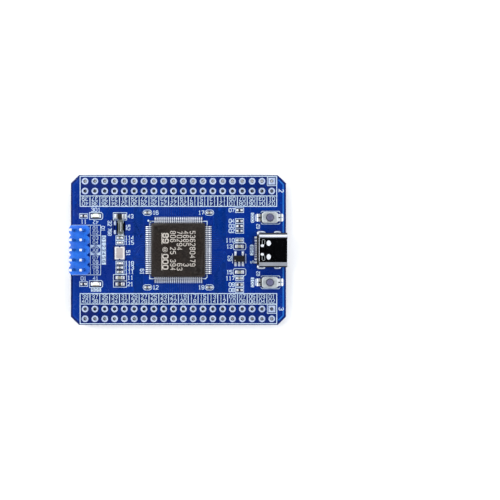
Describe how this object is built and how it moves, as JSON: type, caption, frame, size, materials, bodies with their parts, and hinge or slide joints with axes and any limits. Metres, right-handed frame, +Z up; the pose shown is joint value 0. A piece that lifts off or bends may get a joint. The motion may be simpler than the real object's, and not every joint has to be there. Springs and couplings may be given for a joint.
{
  "type": "microcontroller development board",
  "caption": "Small blue circuit board with a square many-legged chip, USB-C socket, two push switches, a pin header and double rows of header holes along both long edges.",
  "frame": {"origin": "under the middle of the board, at the height of the tips of the debug header's solder tails", "axes": "+X along the board towards the USB-C socket, +Y across it towards the boot switch, +Z up out of the face that carries the parts"},
  "size_m": [0.056, 0.0386, 0.0115],
  "materials": {
    "board": "blue solder mask on glass-fibre laminate",
    "chip_moulding": "dark moulding compound",
    "silicon": "polished silicon",
    "tinned_metal": "bright tin plate",
    "steel": "nickel-plated sheet",
    "gold_plate": "thin gold plate",
    "black_plastic": "moulded",
    "blue_plastic": "moulded",
    "button_plastic": "moulded",
    "crystal_case": "fired, with tinned ends",
    "led_lens": "milky resin",
    "resistor_body": "glazed film on ceramic, tinned ends",
    "ferrite": "fired ferrite, tinned ends",
    "capacitor_body": "fired ceramic, tinned ends",
    "printed_ink": "bluish white ink printed on the solder mask"
  },
  "bodies": {
    "board": {"analog_filter_capacitor_1": "capacitor_body", "analog_filter_capacitor_2": "capacitor_body", "analog_supply_bead": "ferrite", "analog_supply_capacitor": "capacitor_body", "backup_supply_diode": "chip_moulding", "boot_resistor": "resistor_body", "boot_select_resistor": "resistor_body", "boot_switch_base": "black_plastic", "boot_switch_cover": "steel", "boot_switch_dome": "steel", "circuit_board": "board", "clock_crystal": "crystal_case", "clock_crystal_capacitor": "capacitor_body", "debug_header_housing": "blue_plastic", "debug_header_pin_1": "tinned_metal", "debug_header_pin_10": "tinned_metal", "debug_header_pin_2": "tinned_metal", "debug_header_pin_3": "tinned_metal", "debug_header_pin_4": "tinned_metal", "debug_header_pin_5": "tinned_metal", "debug_header_pin_6": "tinned_metal", "debug_header_pin_7": "tinned_metal", "debug_header_pin_8": "tinned_metal", "debug_header_pin_9": "tinned_metal", "decoupling_capacitor_1": "capacitor_body", "decoupling_capacitor_2": "capacitor_body", "decoupling_capacitor_3": "capacitor_body", "decoupling_capacitor_4": "capacitor_body", "main_crystal_capacitor_1": "capacitor_body", "main_crystal_capacitor_2": "capacitor_body", "main_crystal_case": "crystal_case", "main_crystal_lid": "steel", "mcu_die": "silicon", "mcu_lead_frame": "tinned_metal", "mcu_package": "chip_moulding", "power_led": "led_lens", "power_led_resistor": "resistor_body", "regulator_body": "chip_moulding", "regulator_filter_capacitor": "capacitor_body", "regulator_input_capacitor": "capacitor_body", "regulator_leads": "tinned_metal", "regulator_output_capacitor": "capacitor_body", "reset_resistor": "resistor_body", "reset_switch_base": "black_plastic", "reset_switch_cover": "steel", "reset_switch_dome": "steel", "usb_contacts_lower": "gold_plate", "usb_contacts_upper": "gold_plate", "usb_data_resistor_1": "resistor_body", "usb_data_resistor_2": "resistor_body", "usb_filter_capacitor": "capacitor_body", "usb_insulator": "black_plastic", "usb_mid_plate": "steel", "usb_pull_up_resistor": "resistor_body", "usb_shell": "steel", "user_led": "led_lens", "user_led_resistor": "resistor_body"},
    "boot_button": {"boot_switch_plunger": "button_plastic"},
    "reset_button": {"reset_switch_plunger": "button_plastic"}
  },
  "joints": [
    {"name": "boot_press", "type": "slide", "parent": "board", "child": "boot_button", "axis": [0, 0, -1], "range_m": [0, 0.00025], "stiffness_N_per_m": 6400, "deforming": ["boot_switch_dome"]},
    {"name": "reset_press", "type": "slide", "parent": "board", "child": "reset_button", "axis": [0, 0, -1], "range_m": [0, 0.00025], "stiffness_N_per_m": 6400, "deforming": ["reset_switch_dome"]}
  ]
}
